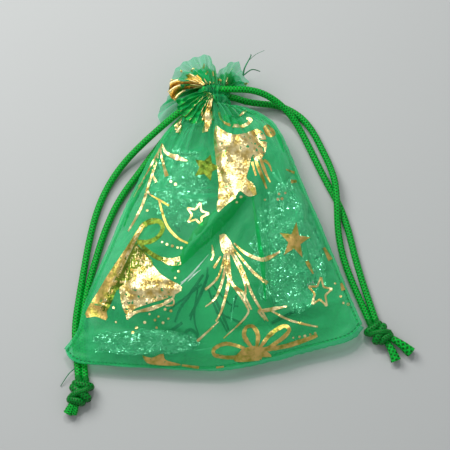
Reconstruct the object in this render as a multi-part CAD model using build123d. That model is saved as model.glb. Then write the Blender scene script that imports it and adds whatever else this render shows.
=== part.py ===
from build123d import *
import math
import os

# A small sheer drawstring gift sack that lies on its back, drawn shut round loose clear film.
# +X runs across the sack, +Y from its bottom seam to its frill, +Z up off the surface it lies on.

# Cloth and seams
CLOTH = 0.4                 # each cloth wall, with its folds, as one plain thickness
SEAM_WIDTH = 1.4            # seam allowance outside the stitching
SEAM_HALF = 0.5             # half the thickness of two layers sewn together
LEAST_EDGE = 0.1            # half the thickness of a thinned section at its seam
MID_START_Y = -55.9         # the seams lie in one tilted plane, given by these three values
MID_START_Z = 5.0
MID_SLOPE = 0.0368
BOTTOM_CORNERS = [(-50.3, -48.7), (-43.5, -53.1), (0.5, -55.9), (50.3, -40.4)]
BOTTOM_TAPER = 30.0         # how far in from the bottom seam the sack reaches its full height
BOTTOM_RISE = 15.0
BOTTOM_DROP = 8.0
FRONT_FULLNESS = 2.0        # powers of the arches across the front and back cloth
BACK_FULLNESS = 2.4
ARCH_SHARES = (-1.0, -0.8, -0.45, 0.0, 0.45, 0.8, 1.0)
TAPER_SHARES = (0.0, 0.15, 0.4, 0.7, 1.0)

# Cross-sections of the filled sack: y, left x, right x, lowest z, highest z
STATIONS = [
    (-57.9, -58.0, 58.0, -1.0, 14.5),
    (-48.7, -50.0, 54.0, -1.0, 16.0),
    (-41.9, -45.4, 50.3, -1.5, 17.5),
    (-33.9, -43.6, 47.4, -2.0, 18.4),
    (-24.9, -40.4, 44.1, -2.0, 18.9),
    (-15.9, -36.6, 40.6, -2.0, 19.0),
    (-6.9, -33.0, 37.1, -1.8, 18.9),
    (2.1, -29.4, 33.4, -1.4, 18.4),
    (11.1, -25.2, 29.7, -0.4, 17.6),
    (20.1, -20.8, 26.3, 1.8, 16.4),
    (27.1, -16.6, 23.2, 3.4, 15.1),
    (32.6, -11.6, 19.6, 4.8, 13.8),
    (35.5, -7.6, 14.6, 4.9, 13.0),
    (37.3, -5.0, 8.6, 4.6, 12.6),
]
SEAM_STATIONS = slice(2, -1)    # the side seams run between these sections
TABLE_SIZE = 200.0
RISING = (Align.CENTER, Align.CENTER, Align.MIN)

# Neck: the gathered casing that the two drawstrings run through
NECK_X = 0.2
NECK_Z = 8.5
NECK_RADIUS = 5.3
NECK_START_Y = 37.3
NECK_END_Y = 44.5
RUN_RADIUS = 3.65           # a drawstring's run round the gathered neck, to its centre line
LEFT_RUN_Y = 39.3
RIGHT_RUN_Y = 42.7
CHANNEL_RADIUS = 1.45
STITCH_RADIUS = 0.25
NECK_GAP = 0.1              # between the casing and the frill around it
STITCH_ROWS = {"casing_stitch_lower": 37.6, "casing_stitch_upper": 44.2}

# Header frill above the casing, as two flat fans with the height of its waves
FRILL_FRONT = [
    (-4.6, 44.7), (-12.0, 40.7), (-16.4, 45.1), (-12.0, 52.1), (-2.3, 55.1), (0.4, 50.3), (7.8, 53.7),
    (12.4, 48.6), (5.0, 44.7),
]
FRILL_BACK = [
    (-4.0, 44.7), (-13.0, 39.3), (-18.6, 33.5), (-19.4, 39.1), (-14.0, 48.6), (-6.0, 53.6), (1.0, 49.3),
    (6.5, 51.6), (13.2, 46.5), (4.4, 44.7),
]
FRILL_FRONT_Z = (9.4, 12.4)
FRILL_BACK_Z = (4.6, 7.2)

# Drawstrings
CORD_RADIUS = 1.15
SMALLEST_BEND = 3 * 2 * CORD_RADIUS
ARC_SHARE = 0.45            # of the shorter run beside a corner, taken up by its arc

LEFT_FRONT_ROUTE = [
    (-0.3, 39.3, 12.15), (-5.8, 39.2, 12.1), (-11.4, 35.2, 10.9), (-17.8, 30.6, 8.4), (-25.6, 24.4, 5.0),
    (-32.0, 18.3, 2.4), (-37.2, 10.7, 1.2), (-40.9, 1.8, 1.15), (-43.3, -8.4, 1.15), (-45.2, -20.8, 1.15),
    (-46.7, -31.3, 1.15), (-47.7, -39.6, 1.15), (-47.3, -46.8, 1.15), (-46.6, -52.9, 1.15), (-46.0, -58.4, 1.6),
]
LEFT_BACK_ROUTE = [
    (-0.3, 39.3, 4.85), (-5.6, 39.1, 4.7), (-10.8, 35.2, 3.4), (-16.0, 29.5, 2.0), (-21.2, 22.9, 1.2),
    (-26.2, 15.5, 1.15), (-31.6, 8.1, 1.15), (-35.6, 0.5, 1.15), (-38.9, -8.5, 1.15), (-41.4, -17.8, 1.15),
    (-43.6, -26.1, 1.15), (-44.7, -33.1, 1.15), (-45.3, -40.1, 1.15), (-44.9, -46.9, 1.15), (-44.3, -53.1, 1.15),
    (-43.7, -58.7, 1.6),
]
RIGHT_FRONT_ROUTE = [
    (0.5, 42.7, 12.15), (6.4, 42.7, 12.1), (12.0, 43.1, 10.8), (17.4, 42.5, 8.7), (22.6, 40.1, 6.3),
    (27.4, 36.1, 3.6), (30.9, 30.9, 1.6), (33.9, 24.7, 1.15), (37.4, 16.9, 1.15), (41.0, 9.5, 1.15),
    (44.6, 2.7, 1.15), (47.2, -5.5, 1.15), (48.9, -13.5, 1.15), (51.0, -21.9, 1.15), (53.6, -30.5, 1.15),
    (56.2, -38.8, 1.6),
]
RIGHT_BACK_ROUTE = [
    (0.5, 42.7, 4.85), (6.2, 42.6, 4.7), (11.4, 40.9, 4.0), (16.2, 40.4, 3.2), (21.0, 40.5, 2.0),
    (26.2, 39.3, 1.2), (31.6, 35.7, 1.15), (35.4, 30.5, 1.15), (38.2, 24.5, 1.15), (41.0, 18.1, 1.5),
    (42.9, 11.1, 4.2), (43.3, 3.1, 4.3), (43.4, -4.9, 1.7), (44.6, -13.5, 1.15), (47.2, -22.1, 1.15),
    (50.6, -30.5, 1.15), (54.0, -38.9, 1.6),
]

# Knots, as rounded lobes that run into each other: centre and radius of each
LEFT_KNOT_LOBES = [
    ((-43.6, -60.3, 3.0), 2.9), ((-46.4, -61.5, 3.05), 2.9), ((-43.4, -63.5, 2.85), 2.75),
    ((-46.6, -65.1, 2.95), 2.85), ((-47.6, -66.9, 2.6), 2.4),
]
RIGHT_KNOT_LOBES = [
    ((54.2, -40.9, 3.05), 2.9), ((55.4, -43.3, 2.9), 2.8), ((58.2, -41.9, 3.1), 2.9),
    ((59.2, -44.5, 2.8), 2.6),
]
LOBE_TURN = (17, 23, 11)        # degrees that each lobe is turned by, so that no two seams line up
LOBE_STEP = (31, 19, 0)         # and how much more for each next lobe

# Tails: start, end, start radius, end radius
LEFT_TAILS = [
    ((-48.2, -66.7, 2.4), (-50.2, -70.7, 1.6), 1.1, 1.4),
    ((-46.4, -66.9, 2.2), (-47.4, -71.1, 1.6), 1.1, 1.3),
]
RIGHT_TAILS = {
    "right_tail_inner": ((59.2, -45.1, 2.2), (62.6, -52.1, 1.6), 1.1, 1.55),
    "right_tail_outer": ((60.4, -43.7, 3.0), (68.0, -49.4, 1.7), 1.1, 1.65),
}

# Loose clear film inside: centre and radii of each wad
FILM_WADS = {
    "film_filler_left": ((-12.0, 8.0, 8.6), (11.0, 15.0, 6.6)),
    "film_filler_right": ((24.0, -14.0, 8.2), (12.0, 24.0, 6.6)),
    "film_filler_bottom": ((-27.0, -44.0, 6.2), (14.0, 4.6, 3.6)),
}
FILM_GAP = 0.5              # between the film's solids and the cloth


def mid_z(y):
    """Height of the seam plane."""
    return MID_START_Z + (y - MID_START_Y) * MID_SLOPE


def arch(left, right, edge_z, crown_z, power):
    """Points of one cloth wall across the sack, from its left seam to its right one."""
    middle = (left + right) / 2
    half = (right - left) / 2
    return [(middle + s * half, edge_z + (crown_z - edge_z) * (1 - abs(s) ** power)) for s in ARCH_SHARES]


def lens_section(station, gap):
    """One closed cross-section of the filled sack, moved in by gap."""
    y, left, right, low, high = station
    left += SEAM_WIDTH + 2 * gap
    right -= SEAM_WIDTH + 2 * gap
    edge = max(SEAM_HALF - gap, LEAST_EDGE)
    upper = arch(left, right, mid_z(y) + edge, high - gap, FRONT_FULLNESS)
    lower = arch(left, right, mid_z(y) - edge, low + gap, BACK_FULLNESS)
    plane = Plane(origin=(0, y, 0), x_dir=(1, 0, 0), z_dir=(0, -1, 0))
    with BuildSketch(plane) as sketch:
        with BuildLine():
            Spline(*upper)
            Line(upper[-1], lower[-1])
            Spline(*reversed(lower))
            Line(lower[0], upper[0])
        make_face()
    return sketch.sketch


def bottom_taper(start, end, gap):
    """A long prism along one bottom seam, thin at the seam and opening inwards."""
    along = (Vector(*end) - Vector(*start)).normalized()
    inward = Vector(-along.Y, along.X, 0)
    seam_z = mid_z((start[1] + end[1]) / 2)
    edge = max(SEAM_HALF - gap, LEAST_EDGE)
    inset = SEAM_WIDTH + 2 * gap
    upper = []
    lower = []
    for share in TAPER_SHARES:
        reach = inset + share * BOTTOM_TAPER
        opening = 1 - (1 - share) ** 2
        upper.append((reach, seam_z + edge + (BOTTOM_RISE - gap) * opening))
        lower.append((reach, seam_z - edge - (BOTTOM_DROP - gap) * opening))
    far_in = TABLE_SIZE
    plane = Plane(origin=(start[0], start[1], 0), x_dir=inward, z_dir=along)
    with BuildSketch(plane) as sketch:
        with BuildLine():
            Spline(*upper)
            Polyline(upper[-1], (far_in, upper[-1][1]), (far_in, lower[-1][1]), lower[-1])
            Spline(*reversed(lower))
            Line(lower[0], upper[0])
        make_face()
    return extrude(sketch.sketch, amount=TABLE_SIZE, both=True)


def pillow(gap):
    """The filled sack as one solid, moved in by gap on every side."""
    body = loft([lens_section(station, gap) for station in STATIONS])
    for start, end in zip(BOTTOM_CORNERS, BOTTOM_CORNERS[1:]):
        body &= bottom_taper(start, end, gap)
    above = Pos(0, 0, gap) * Box(TABLE_SIZE, TABLE_SIZE, TABLE_SIZE, align=RISING)
    return body & above


def seam_slab(side, thickness):
    """Everything within thickness of the seam plane, on one side of it."""
    tilt = math.degrees(math.atan(MID_SLOPE))
    slab = Box(TABLE_SIZE, TABLE_SIZE, thickness, align=(Align.CENTER, Align.CENTER, side))
    return Pos(0, MID_START_Y, MID_START_Z) * Rot(tilt, 0, 0) * slab


def cloth_panels():
    """The front and back panels, as thin walls above and below the seam plane."""
    wall = pillow(0) - pillow(CLOTH)
    return {
        "front_panel": wall & seam_slab(Align.MIN, TABLE_SIZE),
        "back_panel": wall & seam_slab(Align.MAX, TABLE_SIZE),
    }


def side_band(edge_points, inward):
    """A side seam's outline on the table, from the sack's edge to the start of the panels."""
    inner = [(x + inward * SEAM_WIDTH, y) for x, y in edge_points]
    with BuildSketch() as sketch:
        with BuildLine():
            Spline(*edge_points)
            Line(edge_points[-1], inner[-1])
            Spline(*reversed(inner))
            Line(inner[0], edge_points[0])
        make_face()
    return sketch.sketch


def bottom_band():
    """The bottom seam's outline on the table."""
    half_width = BOTTOM_CORNERS[-1][0]
    inner = [(x * (1 - SEAM_WIDTH / half_width), y + SEAM_WIDTH) for x, y in BOTTOM_CORNERS]
    return Polygon(*BOTTOM_CORNERS, *reversed(inner), align=None)


def seams():
    """The three sewn edges: both cloth layers and their stitching, outside the panels."""
    left = [(x, y) for y, x, _, _, _ in STATIONS[SEAM_STATIONS]]
    right = [(x, y) for y, _, x, _, _ in STATIONS[SEAM_STATIONS]]
    bands = {
        "left_side_seam": side_band(left, 1),
        "right_side_seam": side_band(right, -1),
        "bottom_seam": bottom_band(),
    }
    slab = seam_slab(Align.CENTER, 2 * SEAM_HALF)
    return {name: extrude(band, amount=NECK_Z * 2, dir=(0, 0, 1)) & slab for name, band in bands.items()}


def round_neck(y):
    """A plane across the neck at y, with its normal along the neck."""
    return Plane(origin=(NECK_X, y, NECK_Z), x_dir=(1, 0, 0), z_dir=(0, 1, 0))


def u_path(y, side, straight):
    """A drawstring's line round the neck: a half turn that bulges to side, with straight ends."""
    top = Vector(NECK_X, y, NECK_Z + RUN_RADIUS)
    outer = Vector(NECK_X + side * RUN_RADIUS, y, NECK_Z)
    low = Vector(NECK_X, y, NECK_Z - RUN_RADIUS)
    turn = ThreePointArc(top, outer, low)
    if not straight:
        return turn
    away = Vector(-side * straight, 0, 0)
    return Wire([Line(top + away, top).edge(), turn.edge(), Line(low, low + away).edge()])


def round_along(path, radius):
    """A round solid of one radius along a path."""
    return sweep(Plane(origin=path @ 0, z_dir=path % 0) * Circle(radius), path=path)


def neck_casing():
    """The gathered casing in two halves, with the drawstrings' channels."""
    length = NECK_END_Y - NECK_START_Y
    sleeve = round_neck(NECK_START_Y) * Cylinder(NECK_RADIUS, length, align=RISING)
    for y, side in ((LEFT_RUN_Y, 1), (RIGHT_RUN_Y, -1)):
        sleeve -= round_along(u_path(y, side, 2 * NECK_RADIUS), CHANNEL_RADIUS)
    upper = Pos(0, 0, NECK_Z) * Box(TABLE_SIZE, TABLE_SIZE, TABLE_SIZE, align=RISING)
    return {"neck_casing_front": sleeve & upper, "neck_casing_back": sleeve - upper}


def stitch_row(y):
    """One row of stitching round the gathered casing."""
    return round_neck(y) * Torus(NECK_RADIUS + STITCH_RADIUS, STITCH_RADIUS)


def frill(points, heights):
    """One layer of the header frill, as a flat fan with the height of its waves."""
    with BuildSketch(Plane.XY.offset(heights[0])) as sketch:
        with BuildLine():
            Polyline(points[-1], points[0], points[1])
            Spline(*points[1:-1])
            Line(points[-2], points[-1])
        make_face()
    fan = extrude(sketch.sketch, amount=heights[1] - heights[0])
    keep_out_radius = NECK_RADIUS + 2 * STITCH_RADIUS + NECK_GAP
    keep_out_length = NECK_END_Y + NECK_GAP - NECK_START_Y
    return fan - round_neck(NECK_START_Y) * Cylinder(keep_out_radius, keep_out_length, align=RISING)


def bend_radii(points):
    """The arc at each corner of a route, as large as its two runs allow."""
    radii = []
    for before, corner, after in zip(points, points[1:], points[2:]):
        first = Vector(*corner) - Vector(*before)
        second = Vector(*after) - Vector(*corner)
        half_turn = math.radians(first.get_angle(second)) / 2
        radii.append(ARC_SHARE * min(first.length, second.length) / math.tan(half_turn))
    return radii


def strand(name, points):
    """A strand's tube: straight runs joined by tangent arcs."""
    radii = bend_radii(points)
    path = FilletPolyline(*points, radius=radii)
    tube = round_along(path, CORD_RADIUS)
    share = tube.volume / (math.pi * CORD_RADIUS ** 2 * path.length)
    print(f"{name}: length {path.length:.1f}, volume share {share:.3f}, smallest bend {min(radii):.1f}")
    if min(radii) < SMALLEST_BEND:
        print(f"  {name} bends tighter than {SMALLEST_BEND}")
    return tube


def knot(lobes):
    """A knot as its rounded lobes in one solid."""
    balls = []
    for index, (centre, radius) in enumerate(lobes):
        turns = [start + index * step for start, step in zip(LOBE_TURN, LOBE_STEP)]
        balls.append(Pos(*centre) * Rot(*turns) * Sphere(radius))
    body = balls[0]
    for ball in balls[1:]:
        body += ball
    return body


def tail(start, end, start_radius, end_radius):
    """A short cut end of cord that widens as its strands open."""
    axis = Vector(*end) - Vector(*start)
    cone = Cone(start_radius, end_radius, axis.length, align=RISING)
    return Plane(origin=start, z_dir=axis) * cone


def film_wads():
    """The loose film as rounded wads, clear of the cloth."""
    room = pillow(CLOTH + FILM_GAP)
    unit = Sphere(1)
    wads = {}
    for name, (centre, radii) in FILM_WADS.items():
        wads[name] = room & (Pos(*centre) * scale(unit, by=radii))
    return wads


def build():
    """All sub-parts by name."""
    parts = {}
    parts.update(cloth_panels())
    parts.update(seams())
    parts.update(neck_casing())
    for name, y in STITCH_ROWS.items():
        parts[name] = stitch_row(y)
    parts["header_frill_front"] = frill(FRILL_FRONT, FRILL_FRONT_Z)
    parts["header_frill_back"] = frill(FRILL_BACK, FRILL_BACK_Z)
    parts.update(film_wads())
    parts["left_channel_run"] = round_along(u_path(LEFT_RUN_Y, 1, 0), CORD_RADIUS)
    parts["right_channel_run"] = round_along(u_path(RIGHT_RUN_Y, -1, 0), CORD_RADIUS)
    parts["left_front_strand"] = strand("left_front_strand", LEFT_FRONT_ROUTE)
    parts["left_back_strand"] = strand("left_back_strand", LEFT_BACK_ROUTE)
    parts["left_knot"] = knot(LEFT_KNOT_LOBES)
    parts["left_tail_ends"] = Compound(children=[tail(*values) for values in LEFT_TAILS])
    parts["right_front_strand"] = strand("right_front_strand", RIGHT_FRONT_ROUTE)
    parts["right_back_strand"] = strand("right_back_strand", RIGHT_BACK_ROUTE)
    parts["right_knot"] = knot(RIGHT_KNOT_LOBES)
    for name, values in RIGHT_TAILS.items():
        parts[name] = tail(*values)
    return parts


os.makedirs("parts", exist_ok=True)
for node, shape in build().items():
    export_step(shape, f"parts/{node}.step")
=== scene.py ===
import math
import random

import bpy
import bmesh
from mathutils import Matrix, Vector, noise
from mathutils.bvhtree import BVHTree


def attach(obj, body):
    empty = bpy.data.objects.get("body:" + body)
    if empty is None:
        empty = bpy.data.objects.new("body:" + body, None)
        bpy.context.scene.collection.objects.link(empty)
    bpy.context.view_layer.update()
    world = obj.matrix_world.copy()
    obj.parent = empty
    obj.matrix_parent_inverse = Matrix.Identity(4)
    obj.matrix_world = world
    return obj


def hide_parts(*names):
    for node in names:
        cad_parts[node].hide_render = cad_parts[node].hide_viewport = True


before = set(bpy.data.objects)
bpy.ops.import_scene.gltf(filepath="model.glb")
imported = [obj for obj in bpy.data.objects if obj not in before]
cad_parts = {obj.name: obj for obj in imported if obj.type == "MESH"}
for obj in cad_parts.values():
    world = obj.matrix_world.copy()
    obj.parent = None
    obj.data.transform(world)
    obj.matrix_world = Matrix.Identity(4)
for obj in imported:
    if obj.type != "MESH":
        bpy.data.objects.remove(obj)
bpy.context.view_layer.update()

# Lengths here are millimetres, turned into metres when a mesh is made.
MM = 0.001
SACK = "sack"
LEFT = "left_drawstring"
RIGHT = "right_drawstring"

# The sack's outline as it lies, from the bottom seam up to the neck
LEFT_EDGE = [
    (-50.3, -48.7), (-47.4, -44.9), (-45.2, -40.6), (-43.6, -33.9), (-40.4, -24.9), (-36.6, -15.9),
    (-33.0, -6.9), (-29.4, 2.1), (-25.2, 11.1), (-20.8, 20.1), (-16.6, 27.1), (-11.6, 32.6), (-5.0, 37.4),
]
RIGHT_EDGE = [
    (50.3, -40.4), (47.6, -33.9), (44.1, -24.9), (40.6, -15.9), (37.1, -6.9), (33.4, 2.1), (29.7, 11.1),
    (26.3, 20.1), (23.2, 27.1), (19.8, 32.0), (14.6, 35.3), (9.4, 37.0), (5.4, 37.4),
]
BOTTOM_EDGE = [
    (-50.3, -48.7), (-48.6, -51.4), (-44.6, -53.2), (-36.0, -54.0), (-20.0, -54.9), (-3.0, -55.4),
    (6.0, -54.6), (18.0, -51.9), (32.0, -48.2), (46.0, -44.3), (50.3, -40.4),
]
MID_START = (-55.9, 5.0)
MID_SLOPE = 0.0368
NECK = Vector((0.2, 0.0, 8.5))
NECK_Y = 37.4
NECK_RADIUS = 4.9
CASING_END = 44.4
SEAM_WIDTH = 1.4
# Height of the front above the seams and of the back below them, by share of the way up to the neck
FRONT_CROWN = [
    (0.0, 0.0), (0.05, 4.2), (0.13, 8.4), (0.25, 10.8), (0.4, 11.4), (0.6, 10.6), (0.75, 8.6), (0.88, 6.2),
    (1.0, 4.9),
]
BACK_CROWN = [
    (0.0, 0.0), (0.05, 2.6), (0.13, 4.8), (0.25, 6.4), (0.6, 7.2), (0.8, 5.4), (0.9, 4.4), (1.0, 4.9),
]


def mid_z(y):
    return MID_START[1] + (y - MID_START[0]) * MID_SLOPE


def lerp_table(table, x):
    """A value read between the rows of a table."""
    for (x0, y0), (x1, y1) in zip(table, table[1:]):
        if x <= x1:
            share = (x - x0) / (x1 - x0)
            return y0 + (y1 - y0) * share
    return table[-1][1]


def curve_through(points, count):
    """Evenly spaced points on a smooth curve through the given ones."""
    pts = [Vector(p).to_3d() for p in points]
    dense = []
    for i in range(len(pts) - 1):
        before = pts[max(i - 1, 0)]
        after = pts[min(i + 2, len(pts) - 1)]
        for k in range(24):
            t = k / 24
            dense.append(0.5 * (2 * pts[i] + (pts[i + 1] - before) * t
                                + (2 * before - 5 * pts[i] + 4 * pts[i + 1] - after) * t * t
                                + (3 * pts[i] - before - 3 * pts[i + 1] + after) * t ** 3))
    dense.append(pts[-1])
    return resample(dense, count)


def resample(line, count):
    """The line with its points evenly spaced."""
    lengths = [0.0]
    for a, b in zip(line, line[1:]):
        lengths.append(lengths[-1] + (b - a).length)
    out = []
    k = 0
    for i in range(count):
        want = lengths[-1] * i / (count - 1)
        while k < len(line) - 2 and lengths[k + 1] < want:
            k += 1
        step = max(lengths[k + 1] - lengths[k], 1e-9)
        out.append(line[k].lerp(line[k + 1], min((want - lengths[k]) / step, 1.0)))
    return out


def make_object(name, points, faces, materials, smooth=True):
    """A mesh object from points in millimetres."""
    mesh = bpy.data.meshes.new(name)
    mesh.from_pydata([Vector(p) * MM for p in points], [], faces)
    mesh.update()
    for polygon in mesh.polygons:
        polygon.use_smooth = smooth
    obj = bpy.data.objects.new(name, mesh)
    for material in materials:
        mesh.materials.append(material)
    bpy.context.scene.collection.objects.link(obj)
    return obj


def belongs(obj, body, cad_node=None):
    """Says which body a piece rides on, and the CAD node that it stands for."""
    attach(obj, body)
    if cad_node:
        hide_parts(cad_node)


def length_of(line):
    return sum((b - a).length for a, b in zip(line, line[1:]))


def grid_faces(rows, columns, wrap=False):
    faces = []
    for i in range(rows - 1):
        for j in range(columns if wrap else columns - 1):
            k = (j + 1) % columns
            faces.append((i * columns + j, i * columns + k, (i + 1) * columns + k, (i + 1) * columns + j))
    return faces


def add_uv(obj, coordinates):
    """The cloth's own coordinates, one pair for each vertex, which its weave follows."""
    layer = obj.data.uv_layers.new(name="cloth")
    for loop in obj.data.loops:
        layer.data[loop.index].uv = coordinates[loop.vertex_index]


def add_grid_uv(obj, columns, across, along):
    """Coordinates for a grid of points: so much for each column and each row."""
    add_uv(obj, [(k % columns * across, k // columns * along) for k in range(len(obj.data.vertices))])


# ---------------------------------------------------------------- materials

def new_material(name):
    material = bpy.data.materials.new(name)
    material.use_nodes = True
    material.node_tree.nodes.clear()
    return material, material.node_tree


def node(tree, kind, *inputs, **named):
    """A shader node. Inputs are numbers, colours or nodes to link; a name with _ before it is a setting."""
    made = tree.nodes.new(kind)
    for place, value in [*enumerate(inputs), *named.items()]:
        if isinstance(place, str) and place.startswith("_"):
            setattr(made, place[1:], value)
            continue
        socket = made.inputs[place.replace("_", " ") if isinstance(place, str) else place]
        if isinstance(value, bpy.types.Node):
            tree.links.new(value.outputs[0], socket)
        elif isinstance(value, bpy.types.NodeSocket):
            tree.links.new(value, socket)
        else:
            socket.default_value = value
    return made


def maths(tree, operation, *inputs, clamp=False):
    return node(tree, "ShaderNodeMath", *inputs, _operation=operation, _use_clamp=clamp)


def object_place(tree):
    """Object coordinates, for patterns at a real size in metres."""
    return node(tree, "ShaderNodeTexCoord").outputs["Object"]


def noise_pattern(tree, where, scale, detail, **named):
    return node(tree, "ShaderNodeTexNoise", Vector=where, Scale=scale, Detail=detail, **named).outputs["Fac"]


def two_tones(tree, share, low, dark, high, bright):
    """A ramp from one colour to another."""
    ramp = node(tree, "ShaderNodeValToRGB", share)
    for stop, at, colour in zip(ramp.color_ramp.elements, (low, high), (dark, bright)):
        stop.position = at
        stop.color = (*colour, 1)
    return ramp


def faceted(tree, where, scale, amount, normal):
    """A normal tipped a little each way, flat by flat."""
    flats = node(tree, "ShaderNodeTexVoronoi", Vector=where, Scale=scale).outputs["Color"]
    centred = node(tree, "ShaderNodeVectorMath", flats, (0.5, 0.5, 0.5), _operation="SUBTRACT")
    tilt = node(tree, "ShaderNodeVectorMath", centred, _operation="SCALE", Scale=amount)
    tipped = node(tree, "ShaderNodeVectorMath", normal, tilt, _operation="ADD")
    return node(tree, "ShaderNodeVectorMath", tipped, _operation="NORMALIZE")


def organza(name, tint, body, cover):
    """Sheer woven cloth: fine crossed yarns, see-through between them, denser where it turns edge-on."""
    material, tree = new_material(name)
    uv = node(tree, "ShaderNodeUVMap", _uv_map="cloth")
    yarns = [node(tree, "ShaderNodeTexWave", Vector=uv, Scale=230.0, Distortion=0.6, _wave_type="BANDS",
                  _bands_direction=direction).outputs["Fac"] for direction in ("X", "Y")]
    weave = maths(tree, "MULTIPLY", *yarns)
    cloudy = noise_pattern(tree, object_place(tree), 95.0, 3.0, Roughness=0.55)
    facing = node(tree, "ShaderNodeLayerWeight", Blend=0.32).outputs["Facing"]
    covered = maths(tree, "MULTIPLY_ADD", facing, 0.62, cover)
    woven = maths(tree, "MULTIPLY_ADD", weave, 0.13, covered)
    mottled = maths(tree, "MULTIPLY_ADD", cloudy, 0.14, woven, clamp=True)
    bump = node(tree, "ShaderNodeBump", Strength=0.25, Distance=0.00008, Height=weave)
    clear = node(tree, "ShaderNodeBsdfTransparent", Color=(*tint, 1))
    cloth = node(tree, "ShaderNodeBsdfPrincipled", Base_Color=(*body, 1), Roughness=0.38, Sheen_Weight=0.5,
                 Sheen_Roughness=0.35, Specular_IOR_Level=0.55, Normal=bump)
    glow = node(tree, "ShaderNodeBsdfTranslucent", Color=(*body, 1))
    lit = node(tree, "ShaderNodeMixShader", 0.4, cloth, glow)
    node(tree, "ShaderNodeOutputMaterial", node(tree, "ShaderNodeMixShader", mottled, clear, lit))
    return material


def gold_foil(name, colour, shade, rough, sparkle):
    """Hot-stamped foil: bright metal broken into small glittering flats by the cloth's weave."""
    material, tree = new_material(name)
    where = object_place(tree)
    patch = noise_pattern(tree, where, 330.0, 3.0)
    spread = node(tree, "ShaderNodeMapRange", Value=patch, To_Min=rough, To_Max=rough + 0.2)
    crinkle = node(tree, "ShaderNodeBump", Strength=0.6, Distance=0.0004, Height=patch)
    foil = node(tree, "ShaderNodeBsdfPrincipled", Metallic=1.0, Roughness=spread,
                Base_Color=two_tones(tree, patch, 0.36, shade, 0.58, colour),
                Normal=faceted(tree, where, 2600.0, sparkle, crinkle))
    node(tree, "ShaderNodeOutputMaterial", foil)
    return material


def clear_film(name, share_flat, share_edge, metallic=1.0, rough=0.09):
    """Thin clear film: nearly all see-through, with sharp highlights on its creases."""
    material, tree = new_material(name)
    where = object_place(tree)
    crease = node(tree, "ShaderNodeTexVoronoi", Vector=where, Scale=330.0, _feature="F2").outputs["Distance"]
    creased = node(tree, "ShaderNodeBump", Strength=1.0, Distance=0.0024, Height=crease)
    normal = faceted(tree, where, 1300.0, 0.55, creased)
    clear = node(tree, "ShaderNodeBsdfTransparent", Color=(0.97, 0.99, 0.98, 1))
    gloss = node(tree, "ShaderNodeBsdfPrincipled", Roughness=rough, Metallic=metallic,
                 Base_Color=(0.9, 1.0, 0.96, 1), Normal=normal)
    facing = node(tree, "ShaderNodeLayerWeight", Blend=0.3, Normal=normal).outputs["Facing"]
    share = maths(tree, "MULTIPLY_ADD", facing, share_edge, share_flat, clamp=True)
    node(tree, "ShaderNodeOutputMaterial", node(tree, "ShaderNodeMixShader", share, clear, gloss))
    return material


def braided(name, dark, bright, rough):
    """Braided satin cord, drawn on the tube's own length and turn: a colour ramp from painted shade in the gaps
    between the crossing yarns to a painted highlight on their tops.
    """
    material, tree = new_material(name)
    parts = node(tree, "ShaderNodeSeparateXYZ", node(tree, "ShaderNodeUVMap", _uv_map="tube"))
    ridges = []
    for yarns in (BRAID_YARNS, -BRAID_YARNS):
        turned = maths(tree, "MULTIPLY", parts.outputs["Y"], yarns)
        phase = maths(tree, "MULTIPLY_ADD", parts.outputs["X"], 1 / BRAID_PITCH, turned)
        ridges.append(maths(tree, "PINGPONG", phase, 0.5))
    fibres = noise_pattern(tree, object_place(tree), 2400.0, 2.0)
    # The yarns' height sets the colour as well as the bump: painted shade low in the gaps, painted highlight on
    # the tops
    height = maths(tree, "MULTIPLY_ADD", fibres, 0.5, maths(tree, "MAXIMUM", *ridges))
    yarn = node(tree, "ShaderNodeBsdfPrincipled", Roughness=rough, Sheen_Weight=0.0, Specular_IOR_Level=0.18,
                Base_Color=two_tones(tree, height, 0.36, dark, 0.86, bright),
                Normal=node(tree, "ShaderNodeBump", Strength=0.7, Distance=0.0002, Height=height))
    node(tree, "ShaderNodeOutputMaterial", yarn)
    return material


def satin(name, dark, bright, rough):
    """Satin yarn: a colour ramp from painted shade in the gaps to a painted sheen on the raised fibres."""
    material, tree = new_material(name)
    where = object_place(tree)
    fibres = noise_pattern(tree, where, 2600.0, 2.0)
    shade = maths(tree, "MULTIPLY", noise_pattern(tree, where, 240.0, 2.0), 0.55)
    blend = maths(tree, "MULTIPLY_ADD", fibres, 0.45, shade)
    yarn = node(tree, "ShaderNodeBsdfPrincipled", Roughness=rough, Sheen_Weight=0.35, Sheen_Roughness=0.3,
                Anisotropic=0.5, Base_Color=two_tones(tree, blend, 0.35, dark, 0.62, bright),
                Normal=node(tree, "ShaderNodeBump", Strength=0.35, Distance=0.00006, Height=fibres))
    node(tree, "ShaderNodeOutputMaterial", yarn)
    return material


BRAID_YARNS = 4
BRAID_PITCH = 1.1
CLOTH = organza("sheer_cloth", (0.6, 0.98, 0.78), (0.07, 0.8, 0.34), 0.2)
SEAM_CLOTH = organza("sheer_cloth_doubled", (0.05, 0.8, 0.3), (0.0, 0.56, 0.16), 0.36)
FRILL_CLOTH = organza("sheer_cloth_frill", (0.66, 0.98, 0.84), (0.04, 0.72, 0.32), 0.14)
FOIL = gold_foil("gold_foil", (1.0, 0.83, 0.42), (0.68, 0.48, 0.12), 0.28, 0.44)
# A dimmer, rougher copy of the gold foil: painted shade where the foil catches less light
FOIL_DIM_SHADE = gold_foil("gold_foil_dim_painted_shade", (0.8, 0.55, 0.17), (0.36, 0.36, 0.05), 0.42, 0.32)
# A dark olive copy of the gold foil: painted shade
FOIL_DARK_SHADE = gold_foil("gold_foil_dark_painted_shade", (0.2, 0.28, 0.035), (0.09, 0.17, 0.018), 0.42, 0.4)
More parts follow.
